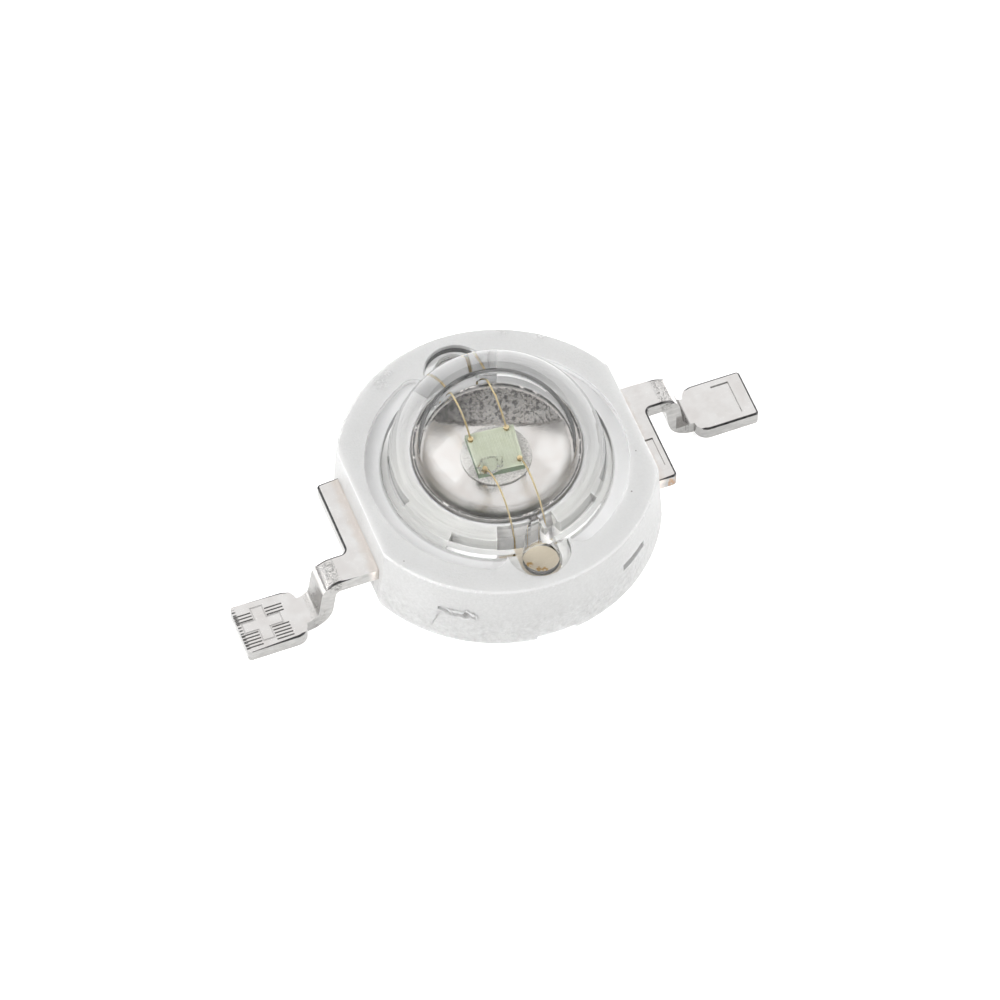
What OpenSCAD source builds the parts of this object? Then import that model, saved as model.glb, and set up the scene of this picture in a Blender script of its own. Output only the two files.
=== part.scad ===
// High power LED of the bead type: a round moulded housing on a copper heat slug,
// two gull-wing leads, a clear domed lens over a reflector cup, and a bonded die.
// Origin on the optical axis in the plane of the slug base and the solder pads,
// +X towards the cathode lead, +Y towards the vent ear of the lens.

/* [Housing] */
// Diameter of the housing at its top rim
housing_d = 8.0; // [7.8:0.1:8.6]
// Distance between the two flats at the top rim
flat_gap = 7.24; // [7.0:0.02:7.5]
// Height of the housing's underside above the slug base
housing_z = 0.52; // [0.4:0.02:0.6]
// Height of the housing's top rim above the slug base
rim_z = 2.6; // [2.5:0.05:2.8]
// Draft angle of the moulded outer wall
wall_draft = 3.6; // [1:0.2:5]
// Bevel on the outer edges of the moulding
edge_c = 0.05; // [0.02:0.01:0.1]
// Width of the recessed ledge that runs round the lens
ledge_w = 0.4; // [0.3:0.02:0.5]
// Depth of the recessed ledge below the top rim
ledge_depth = 0.2; // [0.12:0.01:0.3]
// Angle from the ear axis at which each half of the ledge starts to round off
ledge_stop = 24; // [22:1:28]
// Width of the mould gate relief in the lower edge
gate_w = 1.0; // [0.6:0.1:1.4]
// Height of the mould gate relief
gate_h = 0.15; // [0.08:0.01:0.3]
// Depth of the mould gate relief
gate_depth = 0.15; // [0.1:0.01:0.3]
// Width of the slots left in the wall by the cut tie bars of the lead frame
tie_w = 0.92; // [0.6:0.02:1.1]
// Height of the tie bar slots
tie_h = 0.24; // [0.15:0.01:0.28]
// Depth of the tie bar slots
tie_depth = 0.22; // [0.1:0.02:0.3]
// Angle of the tie bar slots from the ear axis
tie_angle = 35.5; // [30:0.5:38]
// Height of the cup's boss left standing over the sloping inner ring
ring_under = 0.08; // [0.06:0.01:0.12]
// Depth of the inner ring's foot below the seat of the lens
ring_step = 0.1; // [0.06:0.01:0.14]
// Width of the windows beside the leads, in from the skirt of the lens
window_w = 0.54; // [0.5:0.02:0.56]
// Angle of the windows beside the leads
window_span = 34; // [30:2:36]
// Angle by which those windows are turned from the lead axis
window_turn = 12; // [8:1:16]
// Angle of the windows round the bond tabs
tab_window_span = 42; // [40:1:46]
// Plastic left between the cup's boss and the bond tab windows
tab_window_in = 0.05; // [0.04:0.01:0.08]
// Angle of the shallow shelves on both sides of the bond tab windows
shelf_span = 100; // [90:2:104]
// Depth of the shelves below the seat of the lens
shelf_depth = 0.2; // [0.12:0.01:0.3]

/* [Lens] */
// Radius of the spherical dome
dome_r = 2.72; // [2.66:0.02:2.78]
// Width of the lens flange beside the foot of the dome
flange_w = 0.15; // [0.1:0.01:0.18]
// Thickness of the lens flange
flange_t = 0.4; // [0.32:0.02:0.46]
// Wall of the lens skirt beside the foot of the dome
skirt_wall = 0.21; // [0.16:0.01:0.25]
// Height of the lens's flat underside over the cup rim
underside_gap = 0.28; // [0.25:0.01:0.4]
// Radius of the gel-filled inner dome of the lens
inner_dome_r = 1.46; // [1.44:0.01:1.6]
// Radius of the round lobe of each lens ear
ear_r = 0.78; // [0.72:0.02:0.84]
// Distance of the middle of the ear's lobe from the flange's edge
ear_out = 0.01; // [0:0.01:0.05]
// Thickness of the lens ears
ear_t = 0.3; // [0.26:0.02:0.32]
// Diameter of the fill hole and the vent hole in the ears
ear_hole_d = 0.92; // [0.8:0.02:1.0]
// Distance of the ear holes from the flange's edge
ear_hole_out = 0.15; // [0.1:0.01:0.16]
// Clearance round the lens in the housing
lens_gap = 0.02; // [0.01:0.005:0.04]
// Depth of the gel's surface below the top of the ears
gel_drop = 0.1; // [0.04:0.02:0.2]
// Clearance of the wells under the ears round the ear holes
well_gap = 0.07; // [0.03:0.01:0.08]

/* [Heat slug] */
// Diameter of the slug base, the thermal pad
slug_d = 5.8; // [5.4:0.1:6.0]
// Height of the slug base
slug_h = 0.9; // [0.8:0.02:0.94]
// Diameter of the collar that locks the slug in the moulding
collar_d = 4.4; // [4.0:0.1:4.8]
// Height of the locking collar above the slug base
collar_h = 0.2; // [0.1:0.05:0.25]
// Width of the boss's plain rim round the reflector cup
cup_rim_w = 0.08; // [0.06:0.01:0.1]
// Height of the cup rim over the top rim of the housing
boss_over = 0.06; // [0:0.01:0.14]
// Diameter of the reflector cup at its rim
cup_d = 2.86; // [2.7:0.02:2.9]
// Diameter of the flat floor of the cup
cup_floor_d = 1.6; // [1.56:0.02:1.8]
// Depth of the reflector cup
cup_depth = 0.23; // [0.2:0.01:0.4]

/* [Leads] */
// Length over both solder pads
lead_span = 14.5; // [14.2:0.1:15.0]
// Thickness of the lead frame strip
lead_t = 0.38; // [0.34:0.01:0.4]
// Height of the strip's top face where it leaves the housing
lead_z = 1.69; // [1.66:0.01:1.75]
// Distance of the root bar's outer edge from the axis
bar_x = 4.25; // [4.15:0.01:4.35]
// Length of the root bar across the housing
bar_l = 2.95; // [2.7:0.05:3.1]
// Width of the neck that bends down to the pad
neck_w = 0.79; // [0.7:0.01:0.9]
// Width of the solder pad
pad_w = 1.42; // [1.3:0.02:1.5]
// Length of the solder pad from its tip to the shoulder
pad_l = 1.65; // [1.5:0.05:1.7]
// Radius of the pad's shoulder corners
shoulder_r = 0.34; // [0.2:0.02:0.4]
// Inner radius of the upper bend of the neck
top_bend_r = 0.14; // [0.1:0.01:0.18]
// Inner radius of the lower bend of the neck
low_bend_r = 0.36; // [0.3:0.02:0.4]
// Lean of the neck's upright from the vertical
neck_lean = 8; // [4:1:12]
// Distance from the axis at which the upper bend starts
bend_x = 4.68; // [4.62:0.01:4.72]
// Fillet radius where the neck leaves the root bar
root_fillet = 0.15; // [0.1:0.01:0.2]
// Corner radius of the root bar and the pad tip
corner_r = 0.1; // [0.06:0.01:0.14]
// Inner radius of the arc arm inside the housing
arm_r = 2.0; // [1.9:0.05:2.05]
// Width of the arc arm
arm_w = 0.7; // [0.6:0.05:0.75]
// Angle by which the arc arm runs on past the bond tab
arm_over = 24; // [20:1:28]

/* [Markings] */
// Depth of the coined marks and grooves in the leads
coin_depth = 0.04; // [0.02:0.01:0.05]
// Length of the minus mark across the cathode pad
minus_l = 1.0; // [0.8:0.05:1.1]
// Width of the minus mark
minus_w = 0.48; // [0.3:0.02:0.5]
// Distance of the middle of both marks from the tip of their pad
mark_back = 0.62; // [0.6:0.01:0.64]
// Width of the plain plus between the groups of grooves, across its two strokes
plus_w = 0.36; // [0.3:0.02:0.4]
// Spacing of the grip grooves on the anode pad
groove_pitch = 0.095; // [0.085:0.005:0.1]
// Width of one grip groove
groove_w = 0.04; // [0.03:0.005:0.05]

/* [Die and wires] */
// Side of the square die
die_w = 0.88; // [0.84:0.01:0.9]
// Thickness of the die
die_t = 0.14; // [0.1:0.01:0.16]
// Offset of the die and its attach layer towards the cathode
die_x = 0.04; // [0:0.01:0.05]
// Offset of the die and its attach layer towards the vent ear
die_y = 0.14; // [0:0.01:0.14]
// Offset of the die on its attach layer towards the vent ear
die_back = 0.04; // [0:0.01:0.05]
// Angle by which the die is turned clockwise
die_turn = 6; // [0:1:8]
// Bare floor left beside the silver attach layer where it comes closest to the cup's wall
attach_margin = 0.02; // [0.01:0.01:0.05]
// Thickness of the attach layer
attach_t = 0.03; // [0.02:0.005:0.04]
// Distance of the wire planes from the middle of the die
wire_x = 0.34; // [0.26:0.01:0.35]
// Distance of the ball bonds from the middle of the die along the wires
ball_y = 0.35; // [0.3:0.01:0.37]
// Diameter of the bond wires
wire_d = 0.036; // [0.03:0.002:0.05]
// Diameter of the ball bond on the die
ball_d = 0.1; // [0.09:0.01:0.13]
// Clearance of the wire loop over the cup rim
loop_gap = 0.13; // [0.1:0.01:0.16]
// Distance of the bond tabs' inner edges from the cup's boss
tab_gap = 0.11; // [0.09:0.01:0.14]
// Distance of the stitch bonds from the inner edge of their bond tab
stitch_in = 0.12; // [0.1:0.01:0.2]

/* [Hidden] */
$fn = 96;
far = 20;
cut = 1;
lap = 0.05;
housing_r = housing_d / 2;
wall_h = rim_z - housing_z;
foot_r = housing_r + wall_h * tan(wall_draft);
flange_r = dome_r + flange_w;
seat_z = rim_z - flange_t;
bore_r = flange_r + lens_gap;
skirt_r = dome_r - skirt_wall;
cup_rim_z = rim_z + boss_over;
underside_z = cup_rim_z + underside_gap;
ear_y = flange_r + ear_out;
ear_hole_y = flange_r + ear_hole_out;
well_d = ear_hole_d + 2 * well_gap;
gel_level = seat_z + ear_t - gel_drop;
boss_r = cup_d / 2 + cup_rim_w;
ring_top_z = cup_rim_z - ring_under;
ring_foot_z = seat_z - ring_step;
in_rim_r = boss_r - cup_rim_w / 2;
in_rim_z = ring_top_z + (boss_r - in_rim_r) * (ring_top_z - ring_foot_z) / (skirt_r - boss_r);
window_r = skirt_r - window_w;
window_out_r = skirt_r - lens_gap;
tab_window_r = boss_r + tab_window_in;
shelf_z = seat_z - shelf_depth;
shelf_out_r = window_out_r - lens_gap;
skirt_mid_r = (skirt_r + flange_r) / 2;
cup_z = cup_rim_z - cup_depth;
cup_run = (cup_d - cup_floor_d) / 2;
cup_bowl_r = (cup_run * cup_run + cup_depth * cup_depth) / (2 * cup_depth);
die_off = sqrt(die_x * die_x + die_y * die_y);
attach_d = cup_floor_d - 2 * (die_off + attach_margin);
attach_z = cup_z + attach_t;
die_z = attach_z + die_t;
pad_x = lead_span / 2;
neck_y = bar_l / 2 - neck_w / 2;
bend_angle = 90 - neck_lean;
top_mid_r = top_bend_r + lead_t / 2;
low_mid_r = low_bend_r + lead_t / 2;
neck_drop = lead_z - lead_t;
neck_run = (neck_drop - (top_mid_r + low_mid_r) * (1 - cos(bend_angle))) / sin(bend_angle);
pad_start_x = bend_x + (top_mid_r + low_mid_r) * sin(bend_angle) + neck_run * cos(bend_angle);
shoulder_x = pad_x - pad_l;
tab_margin = 0.06;
tab_r = well_d / 2 + tab_margin;
tie_z = lead_z - lead_t / 2;
tab_y = boss_r + tab_gap;
stitch_y = tab_y + stitch_in;
die_mid_y = die_y + die_back;
mark_x = pad_x - mark_back;

// Turns the children half round for the opposite side as well
module both_ways() {
    children();
    rotate([0, 0, 180]) children();
}

// Outer form of the moulding with its drafted wall and flats
module moulding_blank() {
    top_r = housing_r - edge_c;
    bevel_r = housing_r + edge_c * tan(wall_draft);
    difference() {
        rotate_extrude($fn = 128)
            polygon([[0, housing_z], [foot_r - edge_c, housing_z], [foot_r, housing_z + edge_c],
                [bevel_r, rim_z - edge_c], [top_r, rim_z], [0, rim_z]]);
        both_ways()
            translate([flat_gap / 2, 0, rim_z])
                rotate([0, -wall_draft, 0])
                    translate([0, -far / 2, -far / 2]) cube([far, far, far]);
    }
}

// Seat, bore, ledge and ear pockets that take the lens
module lens_recess() {
    pocket_r = ear_r + lens_gap;
    rotate_extrude()
        polygon([[0, in_rim_z], [in_rim_r, in_rim_z], [skirt_r, ring_foot_z], [skirt_r, seat_z], [bore_r, seat_z],
            [bore_r, far], [0, far]]);
    both_ways() {
        half_ledge();
        translate([0, ear_y, seat_z]) cylinder(r = pocket_r, h = far);
        translate([-pocket_r, skirt_mid_r, seat_z]) cube([2 * pocket_r, ear_y - skirt_mid_r, far]);
    }
}

// One half of the ledge, with round ends beside the ears
module half_ledge() {
    from = ledge_stop - 90;
    translate([0, 0, rim_z - ledge_depth]) {
        arc_plate(bore_r - lap, bore_r + ledge_w, from, -from, far);
        for (a = [from, -from])
            rotate([0, 0, a])
                translate([bore_r, 0, 0]) cylinder(r = ledge_w, h = far, $fn = 64);
    }
}

// Windows in the inner ring that reach down to the lead frame, beside the leads and round the bond tabs
module ring_windows() {
    depth = ring_top_z - lead_z;
    well_from = window_r + window_w / 2;
    both_ways()
        translate([0, 0, lead_z]) {
            arc_plate(tab_window_r, window_out_r, 90 - tab_window_span / 2, 90 + tab_window_span / 2, depth);
            translate([0, 0, shelf_z - lead_z])
                arc_plate(window_r, shelf_out_r, 90 - shelf_span / 2, 90 + shelf_span / 2, ring_top_z - shelf_z);
            rotate([0, 0, -window_turn]) arc_plate(window_r, window_out_r, -window_span / 2, window_span / 2, depth);
            translate([0, ear_hole_y, 0]) cylinder(d = well_d, h = seat_z - lead_z);
            translate([-well_d / 2, well_from, 0]) cube([well_d, ear_hole_y - well_from, seat_z - lead_z]);
        }
}

// Marks that moulding and trimming leave in the outer wall
module wall_marks() {
    rotate([0, 0, -90])
        translate([foot_r - gate_depth, -gate_w / 2, housing_z - cut]) cube([cut, gate_w, cut + gate_h]);
    for (a = [90 - tie_angle, 90 + tie_angle, 270 - tie_angle, 270 + tie_angle])
        rotate([0, 0, a])
            translate([housing_r - tie_depth, -tie_w / 2, tie_z]) cube([cut, tie_w, tie_h]);
}

module housing() {
    color("gainsboro")
    difference() {
        moulding_blank();
        slug_body();
        both_ways() lead_strip();
        lens_recess();
        ring_windows();
        wall_marks();
    }
}

// Stepped slug without its cup
module slug_body() {
    base_bevel = 0.08;
    rotate_extrude()
        polygon([[0, 0], [slug_d / 2 - base_bevel, 0], [slug_d / 2, base_bevel], [slug_d / 2, slug_h],
            [collar_d / 2, slug_h], [collar_d / 2, slug_h + collar_h], [boss_r, slug_h + collar_h],
            [boss_r, cup_rim_z], [0, cup_rim_z]]);
}

// Bowl of the reflector: a flat floor and a wall that curves up to the rim
module cup_bowl() {
    rotate_extrude()
        union() {
            translate([0, cup_z]) square([cup_floor_d / 2, cup_depth + cut]);
            intersection() {
                translate([cup_floor_d / 2, cup_z + cup_bowl_r]) circle(r = cup_bowl_r, $fn = 160);
                translate([cup_floor_d / 4, cup_z]) square([far, cup_depth + lap]);
            }
        }
}

module heat_slug() {
    color("silver")
    difference() {
        slug_body();
        cup_bowl();
    }
}

// Ring of the given radii between two angles
module arc_plate(inner, outer, from, to, height) {
    rotate([0, 0, from])
        rotate_extrude(angle = to - from)
            translate([inner, 0]) square([outer - inner, height]);
}

// Lead frame strip as it lies flat in the housing: root bar, arc arm and bond tab
module lead_strip() {
    inner_x = arm_r + arm_w / 2;
    translate([0, 0, lead_z - lead_t]) {
        difference() {
            translate([inner_x, -bar_l / 2, 0]) cube([bar_x - inner_x, bar_l, lead_t]);
            translate([bar_x - corner_r, -bar_l / 2 + corner_r, -cut]) corner_cut();
        }
        arc_plate(arm_r, arm_r + arm_w, 0, 90 + arm_over, lead_t);
        translate([0, ear_hole_y, 0]) cylinder(r = tab_r, h = lead_t);
        translate([-tab_r, tab_y, 0]) cube([2 * tab_r, ear_hole_y - tab_y, lead_t]);
        translate([bar_x, bar_l / 2 - neck_w, 0]) fillet_wedge(root_fillet);
    }
    translate([bar_x - lap, bar_l / 2 - neck_w, lead_z - lead_t]) cube([bend_x - bar_x + lap, neck_w, lead_t]);
}

// What rounding takes off an outside corner that points to +X and -Y
module corner_cut() {
    linear_extrude(lead_t + 2 * cut)
        difference() {
            translate([0, -2 * corner_r]) square(2 * corner_r);
            circle(r = corner_r, $fn = 48);
        }
}

// Concave fillet in the corner between the root bar and the neck's lower edge
module fillet_wedge(r) {
    linear_extrude(lead_t)
        difference() {
            translate([-lap, -r]) square([r + lap, r + lap]);
            translate([r, -r]) circle(r = r, $fn = 48);
        }
}

// Side view of the neck from the start of the upper bend to the flat of the pad
module neck_profile() {
    top_c = [bend_x, lead_z - lead_t - top_bend_r];
    low_c = [pad_start_x, lead_t + low_bend_r];
    difference() {
        translate(top_c) circle(r = top_bend_r + lead_t, $fn = 64);
        translate(top_c) circle(r = top_bend_r, $fn = 64);
        translate(top_c) rotate(neck_lean) translate([-far, -far]) square([2 * far, far]);
        translate([bend_x - far, 0]) square([far, far]);
    }
    difference() {
        translate(low_c) circle(r = low_bend_r + lead_t, $fn = 64);
        translate(low_c) circle(r = low_bend_r, $fn = 64);
        translate(low_c) rotate(neck_lean) translate([-far, 0]) square([2 * far, far]);
        translate([pad_start_x, -cut]) square([far, far]);
    }
    translate(top_c) rotate(neck_lean) translate([top_bend_r, -neck_run]) square([lead_t, neck_run]);
}

module neck() {
    translate([0, bar_l / 2, 0])
        rotate([90, 0, 0]) linear_extrude(neck_w) neck_profile();
}

// Plan of the solder pad with its rounded shoulders
module pad_plan() {
    difference() {
        union() {
            translate([shoulder_x, neck_y - pad_w / 2 + shoulder_r]) square([pad_l, pad_w - 2 * shoulder_r]);
            translate([shoulder_x + shoulder_r, neck_y - pad_w / 2]) square([pad_l - shoulder_r, pad_w]);
            for (side = [-1, 1])
                translate([shoulder_x + shoulder_r, neck_y + side * (pad_w / 2 - shoulder_r)])
                    circle(r = shoulder_r, $fn = 64);
            translate([pad_start_x, neck_y - neck_w / 2]) square([shoulder_x - pad_start_x + lap, neck_w]);
        }
        translate([0, neck_y])
            for (side = [0, 1])
                mirror([0, side])
                    translate([pad_x - corner_r, -pad_w / 2 + corner_r])
                        difference() {
                            translate([0, -2 * corner_r]) square(2 * corner_r);
                            circle(r = corner_r, $fn = 48);
                        }
    }
}

// One whole lead on the +X side, before its marks are coined
module lead_blank() {
    lead_strip();
    neck();
    linear_extrude(lead_t) pad_plan();
}

// Recess coined in the root bar beside the housing
module bar_recess() {
    from_end = 0.4;
    length = 0.88;
    from_edge = 0.17;
    width = 0.24;
    translate([bar_x - from_edge - width, -bar_l / 2 + from_end, lead_z - coin_depth])
        cube([width, length, cut]);
}

module minus_mark() {
    translate([mark_x - minus_w / 2, neck_y - minus_l / 2, lead_t - coin_depth])
        cube([minus_w, minus_l, cut]);
}

// Grip grooves side by side, from y on in the direction of side
module grooves(x, length, y, side, count) {
    for (i = [0 : count - 1])
        translate([x, y + side * i * groove_pitch - groove_w / 2, lead_t - coin_depth])
            cube([length, groove_w, cut]);
}

// Plus mark: a plain cross left between four groups of grip grooves, the outer ones open at the tip
module plus_mark() {
    inner_l = 0.45;
    back_margin = 0.15;
    step = plus_w / 2 + groove_w / 2;
    inner_x = mark_x - plus_w / 2 - inner_l;
    outer_x = mark_x + plus_w / 2;
    room = pad_w / 2 - step;
    back_count = floor((room - back_margin) / groove_pitch);
    front_count = floor(room / groove_pitch);
    grooves(inner_x, inner_l, neck_y - step, -1, back_count);
    grooves(inner_x, inner_l, neck_y + step, 1, front_count);
    grooves(outer_x, far, neck_y - step, -1, back_count);
    grooves(outer_x, far, neck_y + step, 1, front_count);
}

module cathode_lead() {
    color("silver")
    difference() {
        lead_blank();
        minus_mark();
        bar_recess();
    }
}

module anode_lead() {
    color("silver")
    rotate([0, 0, 180])
        difference() {
            lead_blank();
            plus_mark();
        }
}

// Half section of the lens without its ears
module lens_section() {
    difference() {
        union() {
            translate([0, seat_z]) square([flange_r, flange_t]);
            intersection() {
                translate([0, rim_z]) circle(r = dome_r, $fn = 256);
                translate([0, rim_z - lap]) square([far, far]);
            }
        }
        translate([-cut, seat_z - cut]) square([cut + skirt_r, cut + underside_z - seat_z]);
        translate([0, underside_z]) circle(r = inner_dome_r, $fn = 192);
    }
}

module lens() {
    color("aliceblue", 0.4)
    difference() {
        union() {
            rotate_extrude($fn = 160) intersection() {
                lens_section();
                square([far, far]);
            }
            both_ways()
                difference() {
                    union() {
                        translate([0, ear_y, seat_z]) cylinder(r = ear_r, h = ear_t);
                        translate([-ear_r, 0, seat_z]) cube([2 * ear_r, ear_y, ear_t]);
                    }
                    translate([0, 0, seat_z - cut]) cylinder(r = skirt_mid_r, h = 3 * cut);
                }
        }
        both_ways()
            translate([0, ear_hole_y, seat_z - cut]) cylinder(d = ear_hole_d, h = far);
    }
}

module gel_fill() {
    color("honeydew", 0.3)
    difference() {
        union() {
            ring_windows();
            rotate_extrude()
                polygon([[0, seat_z], [in_rim_r, seat_z], [in_rim_r, in_rim_z], [skirt_r, ring_foot_z],
                    [skirt_r, underside_z], [0, underside_z]]);
            intersection() {
                translate([0, 0, underside_z]) sphere(r = inner_dome_r, $fn = 96);
                translate([-far / 2, -far / 2, underside_z]) cube([far, far, far]);
            }
            both_ways()
                translate([0, ear_hole_y, seat_z - lap]) cylinder(d = ear_hole_d, h = gel_level - seat_z + lap);
        }
        difference() {
            slug_body();
            cup_bowl();
        }
        die_attach();
        led_die();
        for (side = [-1, 1]) {
            anode_wire(side);
            cathode_wire(side);
        }
    }
}

module die_attach() {
    color("darkgray") translate([die_x, die_y, cup_z]) cylinder(d = attach_d, h = attach_t);
}

module led_die() {
    color("darkseagreen")
    translate([die_x, die_mid_y, attach_z])
        rotate([0, 0, -die_turn])
            translate([-die_w / 2, -die_w / 2, 0]) cube([die_w, die_w, die_t]);
}

// Circle through three points of a plane: [centre x, centre y, radius]
function circle_through(a, b, c) =
    let (
        d = 2 * (a[0] * (b[1] - c[1]) + b[0] * (c[1] - a[1]) + c[0] * (a[1] - b[1])),
        aa = a[0] * a[0] + a[1] * a[1],
        bb = b[0] * b[0] + b[1] * b[1],
        cc = c[0] * c[0] + c[1] * c[1],
        x = (aa * (b[1] - c[1]) + bb * (c[1] - a[1]) + cc * (a[1] - b[1])) / d,
        y = (aa * (c[0] - b[0]) + bb * (a[0] - c[0]) + cc * (b[0] - a[0])) / d
    )
    [x, y, sqrt((a[0] - x) * (a[0] - x) + (a[1] - y) * (a[1] - y))];

// Bond wire towards +Y: ball on the die, loop over the cup rim, stitch on the tab
module bond_wire(x, start_y) {
    ball_h = 0.6 * ball_d;
    tail_angle = 3;
    start = [start_y, die_z + ball_h / 2];
    crest = [cup_d / 2, cup_rim_z + loop_gap];
    stitch = [stitch_y, lead_z];
    loop = circle_through(start, crest, stitch);
    from = atan2(stitch[1] - loop[1], stitch[0] - loop[0]) - tail_angle;
    to = atan2(start[1] - loop[1], start[0] - loop[0]);
    difference() {
        union() {
            translate([x, loop[0], loop[1]])
                rotate([90, 0, 90])
                    rotate([0, 0, from])
                        rotate_extrude(angle = to - from, $fn = 180)
                            translate([loop[2], 0]) circle(d = wire_d, $fn = 24);
            translate([x, start_y, die_z]) cylinder(d = ball_d, h = ball_h, $fn = 32);
            translate([x, stitch_y, lead_z]) cylinder(d = 2 * wire_d, h = wire_d / 2, $fn = 32);
        }
        translate([x - cut, stitch_y - cut / 2, lead_z - cut]) cube([2 * cut, cut, cut]);
        translate([x - ball_d, start_y - ball_d, die_z - ball_d]) cube([2 * ball_d, 2 * ball_d, ball_d]);
    }
}

module cathode_wire(side) {
    color("gold") bond_wire(die_x + side * wire_x, die_mid_y + ball_y);
}

module anode_wire(side) {
    color("gold") mirror([0, 1, 0]) bond_wire(die_x + side * wire_x, ball_y - die_mid_y);
}

housing();
heat_slug();
anode_lead();
cathode_lead();
lens();
gel_fill();
die_attach();
led_die();
anode_wire(-1);  // anode_wire_1
anode_wire(1);  // anode_wire_2
cathode_wire(-1);  // cathode_wire_1
cathode_wire(1);  // cathode_wire_2
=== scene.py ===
# High power LED of the bead type: housing, leads, slug, die, wires, gel and lens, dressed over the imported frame.
# All lengths are in metres, written as a number of millimetres times mm.
import math

import bmesh
import bpy
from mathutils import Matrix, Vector, noise


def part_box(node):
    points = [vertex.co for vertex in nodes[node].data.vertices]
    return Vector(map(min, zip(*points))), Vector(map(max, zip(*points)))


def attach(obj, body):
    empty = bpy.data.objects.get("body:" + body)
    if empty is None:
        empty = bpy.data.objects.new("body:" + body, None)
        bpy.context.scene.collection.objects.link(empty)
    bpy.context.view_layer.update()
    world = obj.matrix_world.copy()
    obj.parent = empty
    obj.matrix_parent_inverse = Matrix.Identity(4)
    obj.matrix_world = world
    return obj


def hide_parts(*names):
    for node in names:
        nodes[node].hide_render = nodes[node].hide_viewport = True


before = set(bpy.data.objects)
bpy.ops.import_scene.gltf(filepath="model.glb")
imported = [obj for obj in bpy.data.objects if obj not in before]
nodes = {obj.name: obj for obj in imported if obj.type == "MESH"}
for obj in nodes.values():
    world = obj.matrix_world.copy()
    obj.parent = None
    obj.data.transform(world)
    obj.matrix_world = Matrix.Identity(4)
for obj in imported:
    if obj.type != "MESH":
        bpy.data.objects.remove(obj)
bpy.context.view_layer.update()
mm = 0.001

# Studio: a pale table under a white light tent, with a softbox on each side. The tent's front is open, so bright
# metal reflects darkness from there. The cup under the lens doesn't mirror the softboxes, and the matt pieces under
# the lens get more light from the front than the bright ones reflect.
view_azimuth = math.radians(-21.1)
view_elevation = math.radians(55.5)
view_distance = 169 * mm
aim_height = 1.5 * mm
aim_right = 0.075 * mm
aim_up = -0.39 * mm
camera_right = Vector((math.cos(view_azimuth), math.sin(view_azimuth), 0))
camera_back = Vector((math.sin(view_azimuth) * math.cos(view_elevation),
                      -math.cos(view_azimuth) * math.cos(view_elevation),
                      math.sin(view_elevation)))
camera_up = camera_back.cross(camera_right)
camera_data = bpy.data.cameras.new("camera")
camera_data.lens = 244.6
camera_data.sensor_width = 36
camera_data.clip_start = 10 * mm
camera = bpy.data.objects.new("camera", camera_data)
bpy.context.scene.collection.objects.link(camera)
camera.location = (Vector((0, 0, aim_height)) + aim_right * camera_right + aim_up * camera_up
                   + view_distance * camera_back)
camera.rotation_euler = camera_back.to_track_quat("Z", "Y").to_euler()
bpy.context.scene.camera = camera
bpy.context.scene.view_settings.view_transform = "Standard"


class Value:
    """An output socket; arithmetic on it adds the Math nodes of the expression."""

    def __init__(self, finish, socket):
        self.finish = finish
        self.socket = socket

    def math(self, operation, *others):
        return self.finish.node("Math", {"operation": operation}, dict(enumerate((self,) + others)))

    def __add__(self, other):
        return self.math("ADD", other)

    def __sub__(self, other):
        return self.math("SUBTRACT", other)

    def __rsub__(self, other):
        return self.finish.node("Math", {"operation": "SUBTRACT"}, {0: other, 1: self})

    def __mul__(self, other):
        return self.math("MULTIPLY", other)

    def __truediv__(self, other):
        return self.math("DIVIDE", other)

    def __gt__(self, other):
        return self.math("GREATER_THAN", other)

    def __lt__(self, other):
        return self.math("LESS_THAN", other)

    def __abs__(self):
        return self.math("ABSOLUTE")

    __radd__ = __add__
    __rmul__ = __mul__

    def between(self, low, high):
        """0 below low, 1 above high, smooth in the middle."""
        values = {"Value": self, "From Min": low, "From Max": high}
        return self.finish.node("MapRange", {"interpolation_type": "SMOOTHSTEP"}, values)

    def band(self, start, end, fade):
        """1 from start to end, fading inside them."""
        return self.between(start, start + fade) * (1 - self.between(end - fade, end))

    def ramp(self, stops):
        return self.finish.node("ValToRGB", {"stops": stops}, {"Fac": self})


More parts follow.
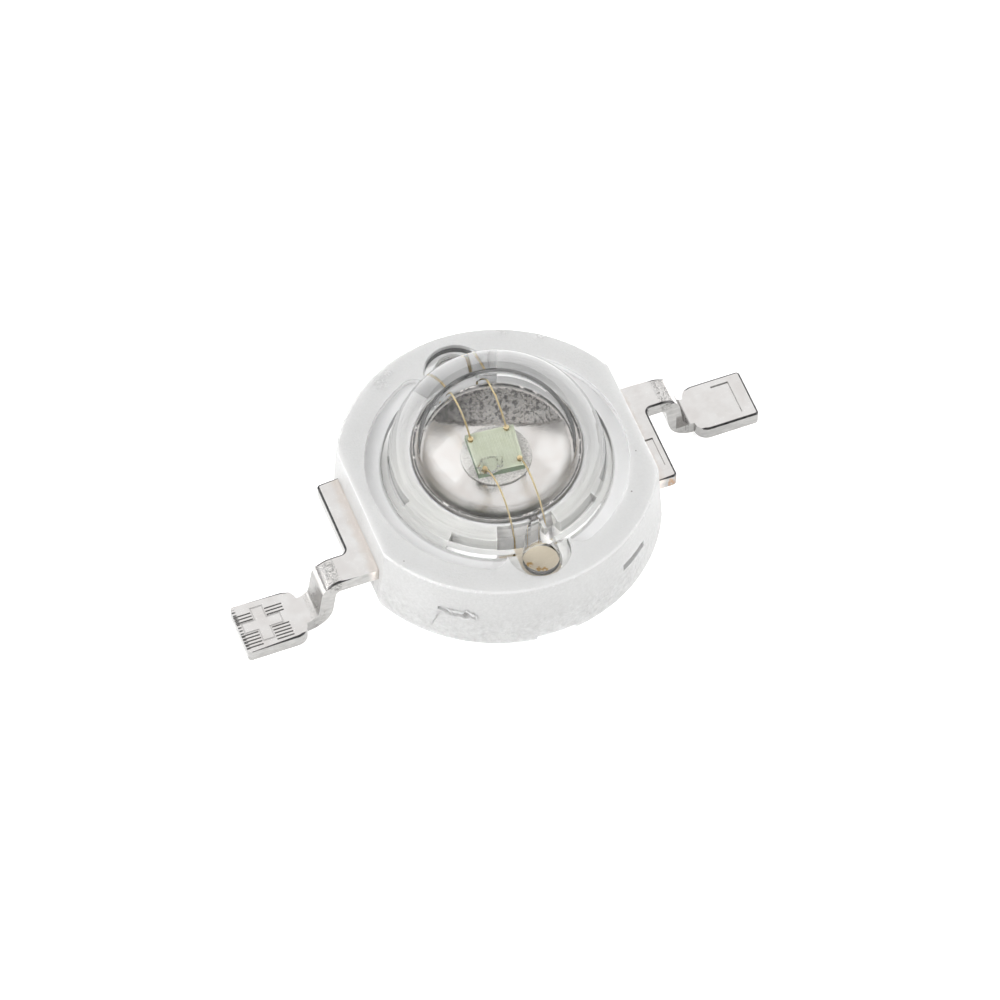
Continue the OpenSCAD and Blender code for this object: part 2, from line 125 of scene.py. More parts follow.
class Finish:
    """A node tree in the making, for a material or for the world."""

    def __init__(self, holder):
        holder.use_nodes = True
        self.holder = holder
        self.tree = holder.node_tree
        self.tree.nodes.clear()

    def node(self, kind, settings=None, sockets=None, output=0):
        made = self.tree.nodes.new("ShaderNode" + kind)
        for key, setting in (settings or {}).items():
            if key == "stops":
                while len(made.color_ramp.elements) < len(setting):
                    made.color_ramp.elements.new(0.5)
                for element, (place, colour) in zip(made.color_ramp.elements, setting):
                    element.position = place
                    element.color = (*colour, 1)
            else:
                setattr(made, key, setting)
        for key, value in (sockets or {}).items():
            if isinstance(value, Value):
                self.tree.links.new(value.socket, made.inputs[key])
            else:
                made.inputs[key].default_value = value
        return Value(self, made.outputs[output])

    def place(self):
        """Object coordinates in millimetres."""
        here = self.node("TexCoord", output="Object")
        return self.node("VectorMath", {"operation": "SCALE"}, {0: here, "Scale": 1 / mm})

    def parts(self, vector):
        return [self.node("SeparateXYZ", None, {0: vector}, axis) for axis in range(3)]

    def dot(self, vector, other):
        return self.node("VectorMath", {"operation": "DOT_PRODUCT"}, {0: vector, 1: other}, "Value")

    def stretched(self, vector, factors):
        """The vector with each of its parts times its own factor."""
        return self.node("VectorMath", {"operation": "MULTIPLY"}, {0: vector, 1: factors})

    def noise(self, vector, scale, detail=2.0, roughness=0.5):
        sockets = {"Vector": vector, "Scale": scale, "Detail": detail, "Roughness": roughness}
        return self.node("TexNoise", None, sockets)

    def blend(self, share, first, second):
        sockets = {0: share, 6: first, 7: second}
        return self.node("Mix", {"data_type": "RGBA"}, sockets, 2)

    def bump(self, height, distance):
        return self.node("Bump", None, {"Height": height, "Distance": distance})

    def near(self, vector, centre, radius, edge):
        """1 within radius of a point, fading out over edge."""
        away = self.node("VectorMath", {"operation": "DISTANCE"}, {0: vector, 1: centre}, "Value")
        return 1 - away.between(radius, radius + edge)

    def close(self, shader):
        kind = "OutputWorld" if isinstance(self.holder, bpy.types.World) else "OutputMaterial"
        end = self.tree.nodes.new("ShaderNode" + kind)
        self.tree.links.new(shader.socket, end.inputs["Surface"])
        return self.holder


def rgba(*colour):
    return (*colour, 1)


tent_level = 0.82
low_level = 0.08
low_to = 0.45
front_level = 0.25
front_under_lens = 1.3
front_from = math.radians(4)
front_to = math.radians(99)
front_fade = 0.12
front_width = 0.95
# Each softbox: direction of its middle, half width and half height as tangents, softness of its edge, level.
left_box = (Vector((-0.820, -0.085, 0.567)), 0.34, 0.30, 0.03, 3.6)
left_rim = (Vector((-0.820, -0.085, 0.567)), 0.43, 0.39, 0.03, 1.5)
right_box = (Vector((0.774, -0.447, 0.448)), 0.29, 0.33, 0.10, 3.4)
world = bpy.data.worlds.new("light tent")
bpy.context.scene.world = world
world.cycles.sampling_method = "NONE"
sky = Finish(world)
direction = sky.node("TexCoord", output="Generated")
side = sky.dot(direction, camera_right)
forward = sky.dot(direction, Vector((camera_back.x, camera_back.y, 0)).normalized())
height = sky.dot(direction, Vector((0, 0, 1)))
turn = height.math("ARCTAN2", forward)
opening = turn.between(front_from, front_from + front_fade)
opening = opening * (1 - turn.between(front_to - front_fade / 2, front_to + front_fade / 2))
opening = opening * (1 - abs(side).between(front_width - 0.1, front_width + 0.1))
tent = low_level + height.between(0, low_to) * (tent_level - low_level)
light = tent - opening * (tent - front_level)
bent = sky.node("LightPath", output="Transmission Depth") > 0.5
mirrored = sky.node("LightPath", output="Glossy Depth") > 0.5
spared = 1 - bent * mirrored
light = light + opening * bent * (1 - mirrored) * front_under_lens
for centre, half_width, half_height, soft, level in (left_box, left_rim, right_box):
    across = Vector((0, 0, 1)).cross(centre).normalized()
    upward = centre.cross(across)
    depth = sky.dot(direction, centre).math("MAXIMUM", 0.01)
    u = abs(sky.dot(direction, across) / depth)
    v = abs(sky.dot(direction, upward) / depth)
    inside = 1 - u.between(half_width - soft, half_width + soft)
    inside = inside * (1 - v.between(half_height - soft, half_height + soft))
    light = light + inside * spared * level
sky.close(sky.node("Background", None, {"Color": rgba(1, 1, 1), "Strength": light}))

table_glow = 0.7
table_size = 4
table_drop = 0.01 * mm
table = Finish(bpy.data.materials.new("table"))
glow = table.node("Emission", None, {"Color": rgba(1, 1, 1), "Strength": table_glow})
matt = table.node("BsdfDiffuse", None, {"Color": rgba(0.9, 0.9, 0.9)})
table.close(table.node("AddShader", None, {0: glow, 1: matt}))
bpy.ops.mesh.primitive_plane_add(size=table_size, location=(0, 0, -table_drop))
floor = bpy.context.object
floor.name = "floor"
floor.data.materials.append(table.holder)


def dress(name, material):
    """Gives a CAD node its finish."""
    node = nodes[name]
    node.data.materials.clear()
    node.data.materials.append(material)


merge_distance = 0.0005 * mm


def copy_node(name):
    """A merged copy of a CAD node's mesh, as a bmesh."""
    mesh = bmesh.new()
    mesh.from_mesh(nodes[name].data)
    bmesh.ops.remove_doubles(mesh, verts=mesh.verts, dist=merge_distance)
    mesh.normal_update()
    return mesh


def add_piece(name, mesh, materials, replaced, crease=35):
    """Makes a piece of a bmesh on the one body, smooth but for edges sharper than crease degrees."""
    mesh.normal_update()
    for face in mesh.faces:
        face.smooth = True
    for edge in mesh.edges:
        edge.smooth = len(edge.link_faces) == 2 and edge.calc_face_angle(0) < math.radians(crease)
    data = bpy.data.meshes.new(name)
    mesh.to_mesh(data)
    mesh.free()
    piece = bpy.data.objects.new(name, data)
    bpy.context.scene.collection.objects.link(piece)
    for material in materials:
        data.materials.append(material)
    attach(piece, "root")
    if replaced:
        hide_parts(*replaced)


# Housing: one moulded body of white filled thermoplastic, matt. Its wall is fine-grained, rougher towards the foot
# and cracked in one place. The top rim is nicked and scuffed, and a few dark specks stick to it.
rim_z = 2.6
rim_edge_r = 3.92
recess_r = 3.4
ledge_z = 2.3
ledge_r = 2.9
seat_r = 2.45
window_wall_r = 1.7
window_floor_z = 2.04
scuffs = [((-1.85, 3.2, rim_z), 0.2), ((-1.6, 3.42, rim_z), 0.12), ((1.55, 3.62, rim_z), 0.16),
          ((2.4, 3.1, rim_z), 0.1)]
specks = [((-3.22, -2.02, rim_z), 0.016), ((3.3, 2.2, rim_z), 0.02), ((-2.5, 3.1, 2.62), 0.015),
          ((2.75, -2.1, rim_z), 0.02), ((0.9, -4.05, 1.75), 0.022), ((3.3, -1.0, rim_z), 0.016),
          ((-3.35, 2.4, rim_z), 0.014), ((-1.72, -3.62, rim_z), 0.018), ((-1.5, -3.7, rim_z), 0.015)]
crack_middle = (-2.75, -2.98, 1.2)
crack_across = (0.814, -0.581, -0.33)
crack_offset = 0.88
plastic = Finish(bpy.data.materials.new("white thermoplastic"))
p = plastic.place()
x, y, z = plastic.parts(p)
axis_r = (x * x + y * y).math("SQRT")
low_wall = 1 - z.between(1.0, 1.9)
grain = plastic.noise(p, 22.0, 3.0, 0.6)
lumps = plastic.noise(p, 7.0, 3.0, 0.6)
height_map = grain * 0.12 + lumps * (low_wall * 0.9 + 0.12)
rough_mark = plastic.noise(p, 16.0, 4.0, 0.7).between(0.45, 0.6)
scuff = 0.0
for centre, radius in scuffs:
    scuff = plastic.near(p, centre, radius * 0.4, radius) + scuff
height_map = height_map - scuff * rough_mark * 0.5
crack = plastic.dot(p, crack_across) + crack_offset + plastic.noise(p, 6.0, 3.0, 0.6) * 0.06
crack = (1 - abs(crack).between(0.008, 0.03)) * plastic.near(p, crack_middle, 0.12, 0.3)
height_map = height_map - crack * 0.7
chips = z.between(rim_z - 0.1, rim_z - 0.04) * axis_r.between(rim_edge_r, rim_edge_r + 0.04)
chips = chips * plastic.noise(p, 7.0, 3.0, 0.7).between(0.60, 0.66)
height_map = height_map - chips * 0.6
speck = 0.0
for centre, radius in specks:
    speck = plastic.near(p, centre, radius * 0.6, radius * 0.8) + speck

# Its tones: the wall is painted a shade darker than the rim, as painted shade. The ring round the lens is streaked by
# the tool, and its dark tone, darker still towards the back and right, is painted shade. The lens's seat is painted
# pale at the back as painted light and darker at the front as painted shade, and the ledge outside it and the windows
# through the ring are painted paler, as painted light.
shade = plastic.noise(p, 0.8, 2.0) * 0.7 + lumps * 0.3
# The wall's tone, darker than the rim's below, is painted shade on the wall.
tone = shade.ramp([(0.3, (0.50, 0.50, 0.495)), (0.7, (0.54, 0.54, 0.535))])
rim = shade.ramp([(0.3, (0.68, 0.68, 0.675)), (0.7, (0.72, 0.72, 0.715))])
tone = plastic.blend(z.between(rim_z - 0.06, rim_z - 0.02), tone, rim)
mottle = (plastic.noise(p, 15.0, 3.0, 0.7) - 0.5) * 0.5 + (lumps - 0.5) * (low_wall * 0.8)
tone = plastic.blend((mottle + 0.2).math("MAXIMUM", 0), tone, rgba(0.88, 0.88, 0.88))
recessed = (1 - axis_r.between(recess_r, recess_r + 0.1)) * (1 - z.between(rim_z - 0.08, rim_z - 0.02))
recessed = recessed * z.between(1.2, 1.3)
round_axis = plastic.node("CombineXYZ", None, {0: axis_r * 16, 1: y.math("ARCTAN2", x) * 1.3, 2: z * 6})
streaks = plastic.noise(round_axis, 1.0, 3.0, 0.6)
ring = recessed * (1 - axis_r.between(2.6, 2.8))
# The ring's dark tone under the tool streaks is painted shade.
tone = plastic.blend(recessed, tone, streaks.ramp([(0.3, (0.42, 0.42, 0.41)), (0.7, (0.49, 0.49, 0.475))]))
# Darker still towards the back and right: painted shade.
tone = plastic.blend(ring * (x * 0.5 + y).between(-0.5, 1.2) * 0.6, tone, rgba(0.38, 0.38, 0.385))
# The windows' walls and floor are painted paler than the ring: painted light in the windows.
window_wall = (1 - axis_r.between(window_wall_r, window_wall_r + 0.05)) * (1 - z.between(2.44, 2.48))
tone = plastic.blend(recessed * window_wall, tone, rgba(0.72, 0.71, 0.69))
window_floor = 1 - z.between(window_floor_z, window_floor_z + 0.04)
tone = plastic.blend(recessed * window_floor, tone, rgba(0.97, 0.965, 0.95))
# The seat is painted pale at the back, as painted light, and darker at the front, as painted shade.
seat = plastic.blend(y.between(1.0, 2.0), rgba(0.60, 0.60, 0.59), rgba(0.94, 0.94, 0.93))
tone = plastic.blend(recessed * axis_r.between(seat_r, seat_r + 0.07), tone, seat)
# The ledge is painted paler: painted light on the ledge.
ledge = axis_r.between(ledge_r, ledge_r + 0.05) * z.between(ledge_z, ledge_z + 0.05)
tone = plastic.blend(recessed * ledge, tone, rgba(0.97, 0.97, 0.965))
height_map = height_map + streaks * ring * 0.5
tone = plastic.blend((scuff * rough_mark * 0.7 + chips * 0.5).math("MINIMUM", 1), tone, rgba(0.95, 0.95, 0.95))
tone = plastic.blend(crack * 0.45, tone, rgba(0.2, 0.2, 0.19))
tone = plastic.blend(speck.math("MINIMUM", 1) * 0.8, tone, rgba(0.12, 0.1, 0.09))
plastic.close(plastic.node("BsdfPrincipled", None, {
    "Base Color": tone, "Roughness": 0.42, "Subsurface Weight": 1.0, "Subsurface Radius": (1, 1, 1),
    "Subsurface Scale": 0.25 * mm, "Normal": plastic.bump(height_map, 0.06 * mm)}))
dress("housing", plastic.holder)

# Torn slot: the front left tie bar slot of the same moulding, broken open with a rough fringe round it.
slot_angle = math.radians(234.5)
slot_half = 0.46
slot_top = 1.735
slot_foot = 1.61
slot_depth = 0.13
mouth_half = 0.47
mouth_low = 1.49
mouth_high = 1.75
patch_half = 0.62
patch_low = 1.34
patch_high = 1.94
patch_step = 0.01
patch_back = -0.2
wall_r = 4.0
wall_slope = math.tan(math.radians(3.6))


def smooth(value, low, high):
    """0 below low, 1 above high, smooth in the middle, for plain numbers."""
    share = min(max((value - low) / (high - low), 0), 1)
    return share * share * (3 - 2 * share)


def torn(t, h):
    """How far the torn surface stands out of the wall, t along the wall and h up it."""
    rag = noise.noise(Vector((t * 9, h * 9, 1.5))) * 0.035 + noise.noise(Vector((t * 26, h * 26, 4.5))) * 0.014
    upper = slot_top - 0.09 * smooth(t, -0.35, 0.0) + 0.12 * math.exp(-((t - 0.27) / 0.08) ** 2) + rag
    lower = slot_foot - 0.09 * smooth(t, -0.42, -0.1) + rag
    gap = smooth(upper - h, 0, 0.03) * smooth(h - lower, 0, 0.03) * smooth(slot_half - abs(t), 0, 0.03)
    off = max(h - upper, lower - h, abs(t) - slot_half)
    fringe = math.exp(-((off - 0.035) / 0.04) ** 2) * (0.55 + 1.2 * noise.noise(Vector((t * 7, h * 7, 9.5))))
    base = 0.006 if abs(t) < mouth_half and mouth_low < h < mouth_high else -0.014
    edge = smooth(patch_half - abs(t), 0, 0.08) * smooth(h - patch_low, 0, 0.08) * smooth(patch_high - h, 0, 0.08)
    roughness = 0.02 * noise.noise(Vector((t * 18, h * 18, 7.5)))
    outside = base + max(fringe, 0) * 0.05 * smooth(t, -0.6, 0.2) + roughness * 0.3
    return outside * edge - 0.02 * (1 - edge) - gap * (slot_depth + roughness * 2)


mesh = bmesh.new()
columns = round(2 * patch_half / patch_step)
rows = round((patch_high - patch_low) / patch_step)
sheets = []
for flat in (False, True):
    sheet = []
    for i in range(columns + 1):
        t = -patch_half + 2 * patch_half * i / columns
        for j in range(rows + 1):
            h = patch_low + (patch_high - patch_low) * j / rows
            r = wall_r + (rim_z - h) * wall_slope + (patch_back if flat else torn(t, h))
            angle = slot_angle + t / wall_r
            sheet.append(mesh.verts.new((r * math.cos(angle) * mm, r * math.sin(angle) * mm, h * mm)))
    sheets.append(sheet)
front, back = sheets
stride = rows + 1
for i in range(columns):
    for j in range(rows):
        k = i * stride + j
        mesh.faces.new((front[k], front[k + stride], front[k + stride + 1], front[k + 1]))
        mesh.faces.new((back[k], back[k + 1], back[k + stride + 1], back[k + stride]))
border = ([i * stride for i in range(columns)] + [columns * stride + j for j in range(rows)]
          + [i * stride + rows for i in range(columns, 0, -1)] + [j for j in range(rows, 0, -1)])
for k, following in zip(border, border[1:] + border[:1]):
    mesh.faces.new((front[following], front[k], back[k], back[following]))
add_piece("torn_slot", mesh, [plastic.holder], None)

# Leads: stamped and bent copper strip with a satin tin plating. Its edges are rolled over by the die, the outer bend
# is scraped rough and the cut ends show copper. The rolled edges and the upright faces are painted dark, as painted
# dark reflection.
lead_t = 0.38
wall_x = 3.5
inner_bend_end = 5.42
pad_from = 5.9
pad_tip = 7.25
mark_x = 6.63
mark_y = 1.08
mark_half = 0.5
mark_bar = 0.15
groove_pitch = 0.095
tab_y = 1.3
burns = ((-0.22, -2.80, 1.69), (-0.05, -3.02, 1.69), (0.08, -3.08, 1.69))
burn_r = 0.05
plating = Finish(bpy.data.materials.new("tin plating"))
p = plating.place()
x, y, z = plating.parts(p)
out = abs(x)
off_axis = abs(y)
grain = plating.noise(p, 30.0, 3.0, 0.6)
smear = plating.noise(plating.stretched(p, (4.0, 14.0, 14.0)), 1.0, 3.0, 0.6)
pits = plating.noise(p, 26.0, 4.0, 0.75).between(0.5, 0.62)
outer_bend = out.band(4.62, 5.02, 0.1) * z.between(1.3, 1.45)
inner_bend = out.between(5.05, 5.15) * (1 - out.between(inner_bend_end, inner_bend_end + 0.08))
inner_bend = inner_bend * (1 - z.between(0.7, 0.85))
worn = (outer_bend + inner_bend * 0.5) * pits
tone = plating.noise(p, 2.2, 2.0).ramp([(0.3, (0.89, 0.86, 0.84)), (0.7, (0.98, 0.965, 0.95))])
normal_z = plating.parts(plating.node("NewGeometry", output="True Normal"))[2]
upright = 1 - abs(normal_z).between(0.3, 0.7)
# Upright faces outside the moulding, the sheared faces among them, are painted dark: painted dark reflection.
sheared_and_painted_dark = upright * out.between(wall_x, wall_x + 0.1)
tone = plating.blend(sheared_and_painted_dark, tone, smear.ramp([(0.3, (0.36, 0.355, 0.345)), (0.7, (0.47, 0.465, 0.455))]))
shaded = (x > 5.1) * (1 - out.between(inner_bend_end, inner_bend_end + 0.08))
shaded = shaded * (1 - z.between(0.8, 0.95)) * z.between(0.36, 0.4)
tone = plating.blend(shaded * 0.75, tone, rgba(0.13, 0.12, 0.11))
stain = (1 - (out + plating.noise(p, 3.0, 2.0) * 0.3).between(3.9, 4.15)) * 0.8
tone = plating.blend(stain, tone, rgba(0.86, 0.79, 0.73))
tone = plating.blend(worn * 0.75, tone, rgba(0.20, 0.19, 0.18))
cut_end = (x > 4.0) * (y < -1.44) * (z < 1.63) * plating.noise(p, 9.0, 3.0, 0.7).between(0.42, 0.55)
tone = plating.blend(cut_end * 0.8, tone, rgba(0.42, 0.26, 0.15))

# Inside the moulding the strip is grey with drawn lines, and its bond tabs are painted pale as painted light, beige
# on the front one. The front one has burn spots.
moulded_in = 1 - out.between(wall_x, wall_x + 0.1)
tone = plating.blend(moulded_in, tone, rgba(0.80, 0.79, 0.77))
# The tabs' pale tone is painted light.
tab = moulded_in * off_axis.between(tab_y, tab_y + 0.2)
tone = plating.blend(tab, tone, rgba(0.60, 0.60, 0.60))
tone = plating.blend(tab * (y < 0), tone, rgba(0.62, 0.56, 0.46))
for centre in burns:
    burn = plating.near(p, centre, burn_r, 0.06) * plating.noise(p, 14.0, 3.0, 0.6).between(0.4, 0.55)
    tone = plating.blend(burn * 0.9, tone, rgba(0.45, 0.25, 0.05))
hatch = moulded_in * (1 - off_axis.between(tab_y - 0.1, tab_y + 0.1))
hatch_lines = plating.noise(plating.stretched(p, (5.0, 16.0, 5.0)), 1.0, 4.0, 0.7)

# Marks: a dark line painted round the anode's coined plus as painted shade in its edge, dark teeth painted where its
# grooves reach the tip as painted shade in the notches, and roughness in the walls of the cathode's minus.
pad_x = abs(x + mark_x)
pad_y = abs(y + mark_y)
lying_bar = (pad_x - mark_half).math("MAXIMUM", pad_y - mark_bar)
plus_edge = lying_bar.math("MINIMUM", (pad_x - mark_bar).math("MAXIMUM", pad_y - mark_half))
# The dark line round the plus is painted shade in its edge.
plus_line = (1 - abs(plus_edge).between(0.004, 0.03)) * z.between(0.3, 0.36)
tone = plating.blend(plus_line * 0.4, tone, rgba(0.35, 0.34, 0.33))
# The dark teeth are painted shade in the notches at the tip.
teeth = (0 - x).between(pad_tip - 0.12, pad_tip - 0.06)
teeth = teeth * (y * 2 * math.pi / groove_pitch).math("SINE").between(-0.2, 0.2)
teeth = teeth * z.between(0.2, 0.28) * (1 - (pad_y - 0.6).between(0.0, 0.03))
tone = plating.blend(teeth * 0.85, tone, rgba(0.10, 0.10, 0.10))
minus_wall = out.band(6.0, 7.2, 0.05) * (x > 0) * z.band(0.342, 0.378, 0.004)
dents = grain * 0.3 + smear * 0.5 - worn * 1.5 - plus_line + hatch * hatch_lines * 8
plating.close(plating.node("BsdfPrincipled", None, {
    "Base Color": tone, "Metallic": 1 - tab * 0.9 - minus_wall * 0.6,
    "Roughness": smear * 0.12 + worn * 0.2 + moulded_in * 0.3 + minus_wall * 0.4 + 0.14,
    "Normal": plating.bump(dents, 0.006 * mm)}))

# Only edges of the strip's upper side are rolled. The marks, the grooves, the bar slot and the lower bend stay sharp.
roll = 0.055
# The rolled edges are painted dark: painted dark reflection.
edge_painted_dark = Finish(bpy.data.materials.new("edge plating painted dark"))
p = edge_painted_dark.place()
tone = edge_painted_dark.noise(p, 9.0, 3.0, 0.6).ramp([(0.3, (0.05, 0.05, 0.055)), (0.7, (0.20, 0.195, 0.19))])
edge_painted_dark.close(edge_painted_dark.node("BsdfPrincipled", None, {"Base Color": tone, "Metallic": 1.0, "Roughness": 0.3}))
for name in ("anode_lead", "cathode_lead"):
    mesh = copy_node(name)
    bmesh.ops.dissolve_limit(mesh, angle_limit=math.radians(0.5), verts=mesh.verts, edges=mesh.edges)
    mesh.normal_update()
    rolled = []
    for edge in mesh.edges:
        middle = (edge.verts[0].co + edge.verts[1].co) / 2
        reach, across, level = abs(middle.x) / mm, abs(middle.y) / mm, middle.z / mm
        marked = reach > pad_from and 0.3 < level < lead_t - 0.001
        grooved = pad_from < reach < pad_tip - 0.05 and abs(across - mark_y) < 0.68 and level > 0.3
        tip = name == "anode_lead" and reach > pad_tip - 0.2 and level > 0.2
        lower_bend = 5.0 < reach < 5.75
        hidden = reach < 3.7 or max(face.normal.z for face in edge.link_faces) < 0.25
        slot = 3.7 < reach < 4.2 and level > 1.64 and across < 1.2
        sharp = edge.calc_face_angle(0) > math.radians(40)
        if sharp and not (marked or grooved or tip or lower_bend or hidden or slot):
            rolled.append(edge)
    bmesh.ops.bevel(mesh, geom=rolled, offset=roll * mm, segments=4, profile=0.5, affect="EDGES",
                    clamp_overlap=False, material=1)
    mesh.normal_update()
    for face in mesh.faces:
        face.material_index = 1 if face.material_index and face.normal.z > 0.2 else 0
    add_piece(name + "_strip", mesh, [plating.holder, edge_painted_dark.holder], [name], crease=30)

# Heat slug: turned copper with a bright silver plating. The cup was pressed into its boss, so the far wall is rough,
# the floor and near wall are smooth, and the rim is rolled unevenly.
foot_r = 2.9
foot_top = 0.9
foot_chamfer = 0.08
neck_r = 2.2
neck_top = 1.1
boss_r = 1.51
cup_floor = 2.43
cup_rim = 2.66
rim_r = 1.43
floor_r = 0.8
hub_r = 0.4
dark_land_r = 1.492
seam_drop = 0.012
bowl_lift = 0.002
bowl_steps = 24
turns = 256
wobble_up = 0.004 * mm
wobble_out = 0.002
rough_side = (0.36, 0.933, 0)
painted_dark_side = (-0.933, 0.36, 0)
slug_profile = [(foot_r - foot_chamfer, 0.0), (foot_r, foot_chamfer), (foot_r, foot_top), (neck_r, foot_top),
                (neck_r, neck_top), (boss_r, neck_top), (boss_r, cup_rim - 0.02), (boss_r - 0.01, cup_rim - 0.005),
                (boss_r - 0.025, cup_rim), (boss_r - 0.055, cup_rim), (boss_r - 0.07, cup_rim - 0.005)]
bowl_r = ((rim_r - floor_r) ** 2 + (cup_rim - cup_floor) ** 2) / (2 * (cup_rim - cup_floor))
for step in range(bowl_steps):
    r = rim_r - (rim_r - floor_r) * step / bowl_steps
    h = cup_floor + bowl_r - math.sqrt(bowl_r ** 2 - (r - floor_r) ** 2)
    slug_profile.append((r, h + (bowl_lift if step else -seam_drop)))
slug_profile += [(floor_r, cup_floor), (hub_r, cup_floor)]


def turned(profile, steps, bottom, top):
    """A surface of revolution from (radius, height) pairs, closed by a point on the axis at each given height."""
    mesh = bmesh.new()
    rings = []
    for r, h in profile:
        ring = []
        for k in range(steps):
            angle = 2 * math.pi * k / steps
            ring.append(mesh.verts.new((r * math.cos(angle) * mm, r * math.sin(angle) * mm, h * mm)))
        rings.append(ring)
    for first, second in zip(rings, rings[1:]):
        for k in range(steps):
            mesh.faces.new((first[k], first[(k + 1) % steps], second[(k + 1) % steps], second[k]))
    for ring, h, flip in ((rings[0], bottom, True), (rings[-1], top, False)):
        pole = mesh.verts.new((0, 0, h * mm))
        for k in range(steps):
            corners = (ring[k], ring[(k + 1) % steps], pole)
            mesh.faces.new(tuple(reversed(corners)) if flip else corners)
    return mesh


mesh = turned(slug_profile, turns, 0.0, cup_floor)
for v in mesh.verts:
    r = math.hypot(v.co.x, v.co.y) / mm
    if 1.40 < r < 1.47 and v.co.z / mm > 2.6:
        angle = math.atan2(v.co.y, v.co.x)
        wobble = math.sin(angle * 23 + 1) * 0.3 + math.sin(angle * 41) * 0.4 + math.sin(angle * 67 + 2) * 0.3
        v.co.z += wobble * wobble_up
        v.co.x *= 1 + wobble * wobble_out
        v.co.y *= 1 + wobble * wobble_out

# Its finish: the cup's wall is rough on one side, where it is painted dark but for its pits, as painted dark
# reflection, and darker still towards one side of that. A broken dark line is painted round the rolled rim, as
# painted dark reflection.
silver = Finish(bpy.data.materials.new("silver plating"))
p = silver.place()
x, y, z = silver.parts(p)
axis_r = (x * x + y * y).math("SQRT")
dents = silver.noise(p, 14.0, 4.0, 0.7)
wall = axis_r.between(floor_r - 0.05, floor_r + 0.15) * (1 - axis_r.between(rim_r - 0.03, rim_r))
far_wall = wall * (silver.dot(p, rough_side) + dents * 0.16).between(0.85, 0.93)
fine = silver.noise(p, 40.0, 3.0, 0.6)
tone = silver.noise(p, 3.0, 3.0).ramp([(0.35, (0.94, 0.90, 0.87)), (0.65, (0.99, 0.97, 0.95))])
uneven = silver.noise(p, 5.0, 3.0, 0.7)
dark_land = 1 - abs(axis_r + uneven * 0.04 - dark_land_r).between(0.012, 0.03)
pitted = far_wall * dents.between(0.42, 0.52)
# The far wall is painted dark, all but its pits: painted dark reflection.
tone = silver.blend((far_wall - pitted) * 0.75, tone, rgba(0.20, 0.19, 0.19))
# One side of the far wall is painted darker still: painted dark reflection.
painted_darker_side_share = silver.dot(p, painted_dark_side).between(0.1, 0.9) * (uneven * 0.6 + 0.3)
tone = silver.blend(far_wall * painted_darker_side_share, tone, rgba(0.15, 0.145, 0.14))
# The broken dark line on the rim's land is painted dark reflection.
tone = silver.blend(dark_land * uneven.between(0.36, 0.46) * 0.9, tone, rgba(0.05, 0.05, 0.05))
silver.close(silver.node("BsdfPrincipled", None, {
    "Base Color": tone, "Metallic": 1.0, "Roughness": (1 - far_wall) * 0.05 + 0.08,
    "Normal": silver.bump(dents * (far_wall * 1.9 + 0.05) + fine * 0.12, 0.03 * mm)}))
add_piece("silver_slug", mesh, [silver.holder], ["heat_slug"])

# Die attach: a disc of grey silver epoxy, coarse and dull.
epoxy = Finish(bpy.data.materials.new("silver epoxy"))
p = epoxy.place()
grain = epoxy.noise(p, 26.0, 4.0, 0.7)
tone = grain.ramp([(0.35, (0.33, 0.32, 0.305)), (0.6, (0.68, 0.665, 0.64))])
epoxy.close(epoxy.node("BsdfPrincipled", None, {
    "Base Color": tone, "Metallic": 0.2, "Roughness": 0.5, "Normal": epoxy.bump(grain, 0.02 * mm)}))
dress("die_attach", epoxy.holder)

# Die: one pale green chip with fine finger lines on its top and a darker side.
die_x = 0.04
die_y = 0.18
die_turn = math.radians(-6)
die_top = 2.6
line_frequency = 110
lines_half = 0.35
chip = Finish(bpy.data.materials.new("chip"))
p = chip.place()
local = chip.node("VectorMath", {"operation": "SUBTRACT"}, {0: p, 1: (die_x, die_y, 0)})
u = chip.dot(local, (math.cos(die_turn), math.sin(die_turn), 0))
v = chip.dot(local, (-math.sin(die_turn), math.cos(die_turn), 0))
z = chip.parts(p)[2]
line = (u * line_frequency).math("SINE").between(0.5, 0.9)
line = line * (1 - abs(v).between(lines_half - 0.01, lines_half + 0.01))
edge = abs(u).math("MAXIMUM", abs(v)).between(0.40, 0.43)
cloud = chip.noise(p, 5.0, 3.0, 0.6)
tone = cloud.ramp([(0.3, (0.31, 0.335, 0.25)), (0.7, (0.37, 0.39, 0.31))])
tone = chip.blend(line * 0.35, tone, rgba(0.44, 0.47, 0.39))
tone = chip.blend(edge * 0.5, tone, rgba(0.44, 0.47, 0.38))
top = z.between(die_top - 0.015, die_top - 0.005)
tone = chip.blend(1 - top, tone, rgba(0.20, 0.25, 0.18))
chip.close(chip.node("BsdfPrincipled", None, {
    "Base Color": tone, "Roughness": 0.25, "Normal": chip.bump(line, 0.004 * mm)}))
dress("led_die", chip.holder)

# Bond wires: fine gold wire, each with a ball on the die, a loop over the cup's rim and a stitch on the bond tab.
gold = Finish(bpy.data.materials.new("gold"))
tone = gold.noise(gold.place(), 12.0, 2.0).ramp([(0.35, (0.88, 0.68, 0.34)), (0.65, (0.97, 0.84, 0.56))])
gold.close(gold.node("BsdfPrincipled", None, {"Base Color": tone, "Metallic": 0.85, "Roughness": 0.35}))
for name in ("anode_wire_1", "anode_wire_2", "cathode_wire_1", "cathode_wire_2"):
    dress(name, gold.holder)

# Gel: clear silicone that fills the space under the lens. Only its surface in the ear holes shows.
gel_shrink = 0.008 * mm
gel_index = 1.38
gel_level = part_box("lens")[0].z + 0.2 * mm
under_dome_r = 2.52 * mm


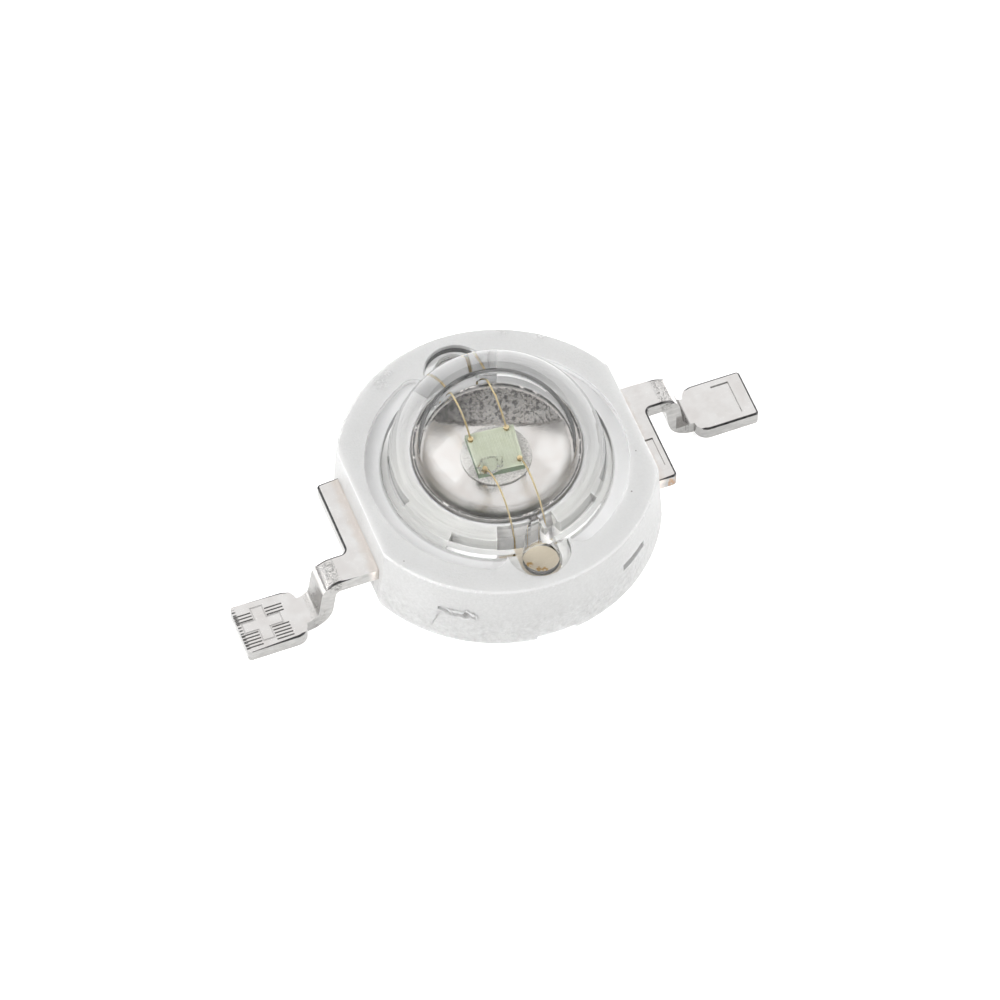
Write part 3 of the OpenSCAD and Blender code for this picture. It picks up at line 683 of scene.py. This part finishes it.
def see_through(name, colour, roughness, index, gloss=0.5):
    """Glass for what the camera sees, which lets the light of the tent through to what lies behind it."""
    glass = Finish(bpy.data.materials.new(name))
    to_diffuse = glass.node("LightPath", output="Is Diffuse Ray")
    ray = glass.node("LightPath", output="Is Shadow Ray").math("MAXIMUM", to_diffuse)
    body = glass.node("BsdfPrincipled", None, {
        "Base Color": colour, "Roughness": roughness, "IOR": index, "Specular IOR Level": gloss,
        "Transmission Weight": 1.0})
    through = glass.node("BsdfTransparent", None, {"Color": rgba(1, 1, 1)})
    return glass.close(glass.node("MixShader", None, {0: ray, 1: body, 2: through}))


clear_gel = see_through("gel", rgba(0.97, 0.95, 0.88), 0.02, gel_index)
hidden_gel = Finish(bpy.data.materials.new("gel against other pieces"))
hidden_gel.close(hidden_gel.node("BsdfPrincipled", None, {"Base Color": rgba(1, 1, 1), "Alpha": 0.0}))
mesh = copy_node("gel_fill")
moved = [(v, v.co - v.normal * gel_shrink) for v in mesh.verts]
for v, place in moved:
    v.co = place
mesh.normal_update()
for face in mesh.faces:
    middle = face.calc_center_median()
    in_ear = math.hypot(middle.x, middle.y) > under_dome_r and middle.z > gel_level - 0.03 * mm
    face.material_index = 0 if in_ear and face.normal.z > 0.9 else 1
add_piece("gel", mesh, [clear_gel, hidden_gel.holder], ["gel_fill"])

# Defect in the gel: a clear, crumpled pocket over the die's front left corner.
pocket_at = Vector((-0.19, -0.155, 2.68))
pocket_size = Vector((0.22, 0.18, 0.07))
mesh = bmesh.new()
bmesh.ops.create_icosphere(mesh, subdivisions=5, radius=1)
for v in mesh.verts:
    crumple = 1 + 0.35 * noise.noise(v.co * 2.2) + 0.16 * noise.noise(v.co * 5 + Vector((3, 1, 2)))
    v.co = Vector([(pocket_at[i] + pocket_size[i] * v.co[i] * crumple) * mm for i in range(3)])
pocket = see_through("pocket in the gel", rgba(1, 1, 1), 0.0, 1.35, 1.0)
add_piece("gel_pocket", mesh, [pocket], None, crease=180)

# Lens: one clear moulding. Its underside and inner dome touch the gel, so there its index is the ratio of the two.
lens_index = 1.46
clear = see_through("clear lens", rgba(0.99, 0.99, 0.985), 0.0, lens_index, 0.8)
wetted = see_through("lens against gel", rgba(1, 1, 1), 0.0, lens_index / gel_index)
dome_r = 2.72
dome_z = 2.6
inner_r = 1.46
inner_z = 2.94
cuts = 2
mesh = copy_node("lens")
for centre_z, radius in ((dome_z, dome_r), (inner_z, inner_r)):
    centre = Vector((0, 0, centre_z * mm))
    on_shell = {v for v in mesh.verts
                if abs((v.co - centre).length / mm - radius) < 0.003 and v.co.z > centre.z - 0.002 * mm}
    shell = [edge for edge in mesh.edges if all(v in on_shell for v in edge.verts)]
    made = bmesh.ops.subdivide_edges(mesh, edges=shell, cuts=cuts, use_grid_fill=True)
    for v in made["geom_inner"]:
        if isinstance(v, bmesh.types.BMVert):
            v.co = centre + (v.co - centre).normalized() * radius * mm
bmesh.ops.triangulate(mesh, faces=[face for face in mesh.faces if len(face.verts) > 4])
mesh.normal_update()
for face in mesh.faces:
    middle = face.calc_center_median()
    inward = face.normal.dot(middle - Vector((0, 0, dome_z * mm))) < 0 or face.normal.z < -0.9
    face.material_index = 1 if inward and math.hypot(middle.x, middle.y) < under_dome_r else 0
add_piece("clear_lens", mesh, [clear, wetted], ["lens"], crease=25)
